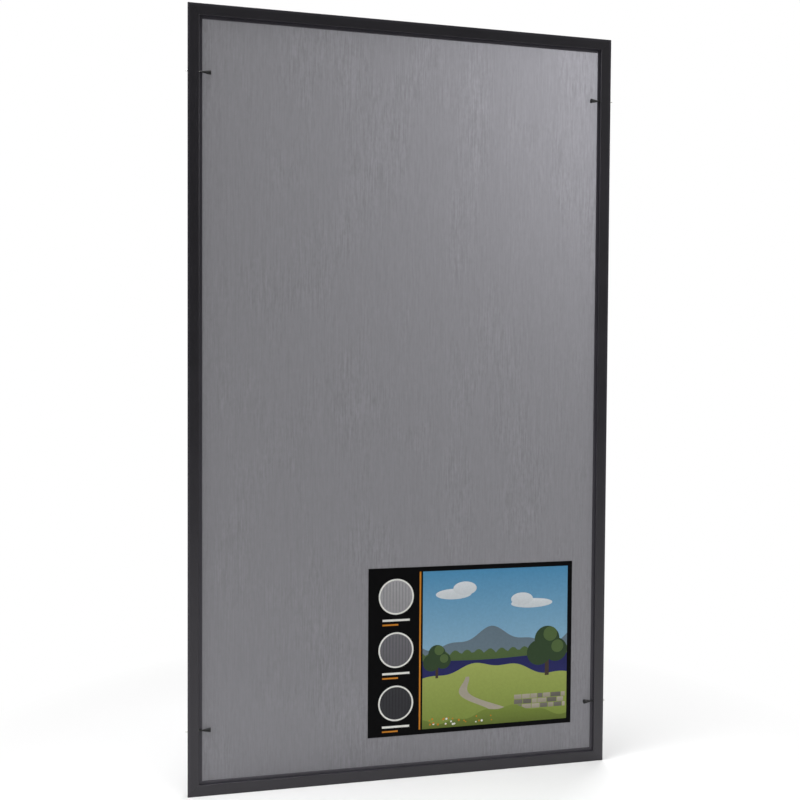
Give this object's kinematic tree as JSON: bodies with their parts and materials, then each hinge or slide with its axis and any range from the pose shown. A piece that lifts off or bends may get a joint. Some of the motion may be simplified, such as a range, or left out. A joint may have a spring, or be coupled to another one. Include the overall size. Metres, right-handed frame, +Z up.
{
  "type": "window screen",
  "caption": "Rectangular window screen: mitred hollow metal frame, ribbed solar cloth held by a cord in a groove, and sprung side plungers with flared pull knobs.",
  "frame": {"origin": "middle of the bottom edge, halfway through the frame's thickness", "axes": "+X to the right as seen from the front, +Y to the back, +Z up"},
  "size_m": [0.8008, 0.011, 1.397],
  "materials": {
    "frame_paint": "satin charcoal enamel",
    "screen_cloth": "ribbed vinyl-coated weave",
    "spline_vinyl": "matt, grooved",
    "knob_plastic": "moulded, slight sheen",
    "pin_steel": "zinc plated",
    "spring_steel": "drawn wire",
    "key_plastic": "moulded",
    "label_card": "printed, semi-gloss"
  },
  "bodies": {
    "frame": {"left_stile": "frame_paint", "right_stile": "frame_paint", "top_rail": "frame_paint", "bottom_rail": "frame_paint", "spline_left": "spline_vinyl", "spline_right": "spline_vinyl", "spline_top": "spline_vinyl", "spline_bottom": "spline_vinyl", "screen_cloth": "screen_cloth", "label_card": "label_card", "corner_key_top_left": "key_plastic", "corner_key_top_right": "key_plastic", "corner_key_bottom_left": "key_plastic", "corner_key_bottom_right": "key_plastic", "spring_top_left": "spring_steel", "spring_top_right": "spring_steel", "spring_bottom_left": "spring_steel", "spring_bottom_right": "spring_steel"},
    "plunger_top_left": {"pin_top_left": "pin_steel", "knob_top_left": "knob_plastic"},
    "plunger_top_right": {"pin_top_right": "pin_steel", "knob_top_right": "knob_plastic"},
    "plunger_bottom_left": {"pin_bottom_left": "pin_steel", "knob_bottom_left": "knob_plastic"},
    "plunger_bottom_right": {"pin_bottom_right": "pin_steel", "knob_bottom_right": "knob_plastic"}
  },
  "joints": [
    {"name": "plunger_top_left_slide", "type": "slide", "parent": "frame", "child": "plunger_top_left", "axis": [1, 0, 0], "range_m": [0, 0.0036], "stiffness_N_per_m": 550, "springref_m": -0.0036, "deforming": ["spring_top_left"]},
    {"name": "plunger_top_right_slide", "type": "slide", "parent": "frame", "child": "plunger_top_right", "axis": [-1, 0, 0], "range_m": [0, 0.0036], "stiffness_N_per_m": 550, "springref_m": -0.0036, "deforming": ["spring_top_right"]},
    {"name": "plunger_bottom_left_slide", "type": "slide", "parent": "frame", "child": "plunger_bottom_left", "axis": [1, 0, 0], "range_m": [0, 0.0036], "stiffness_N_per_m": 550, "springref_m": -0.0036, "deforming": ["spring_bottom_left"]},
    {"name": "plunger_bottom_right_slide", "type": "slide", "parent": "frame", "child": "plunger_bottom_right", "axis": [-1, 0, 0], "range_m": [0, 0.0036], "stiffness_N_per_m": 550, "springref_m": -0.0036, "deforming": ["spring_bottom_right"]}
  ]
}
